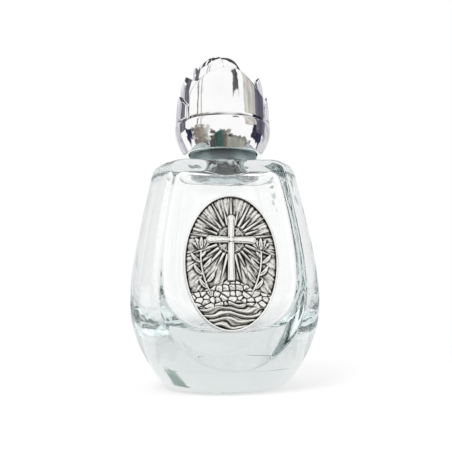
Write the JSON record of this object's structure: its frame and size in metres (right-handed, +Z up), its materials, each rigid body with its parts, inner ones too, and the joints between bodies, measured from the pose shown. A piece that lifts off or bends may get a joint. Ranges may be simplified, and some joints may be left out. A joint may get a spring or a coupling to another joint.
{
  "type": "holy water bottle",
  "caption": "Small thick-walled clear glass bottle with a flat sloping front, an oval silver relief medal and a chrome rosebud screw cap that unscrews and lifts off.",
  "frame": {"origin": "centre of the round base, at the height of the ring it stands on", "axes": "+Z up along the bottle's axis; the front panel with the medal faces -Y"},
  "size_m": [0.042, 0.0338, 0.0746],
  "materials": {
    "clear_glass": "polished",
    "bond": "satin",
    "antique_silver": "satin",
    "foam_seal": "matte",
    "insert_plastic": "satin",
    "cap_chrome": "polished"
  },
  "bodies": {
    "bottle": {"glass_bottle": "clear_glass", "bond_pad": "bond", "relief_medal": "antique_silver"},
    "liner": {"seal_liner": "foam_seal"},
    "cap": {"screw_insert": "insert_plastic", "cap_shell": "cap_chrome"}
  },
  "joints": [
    {"name": "cap_rise", "type": "slide", "parent": "bottle", "child": "liner", "axis": [0, 0, 1], "range_m": [0, 0.01062]},
    {"name": "cap_turn", "type": "hinge", "parent": "liner", "child": "cap", "pos_m": [0, 0, 0.0517], "axis": [0, 0, 1], "range_deg": [0, 1800]}
  ],
  "couplings": [
    {"joint": "cap_rise", "follows": "cap_turn", "m_per_rad": 0.00033693}
  ]
}
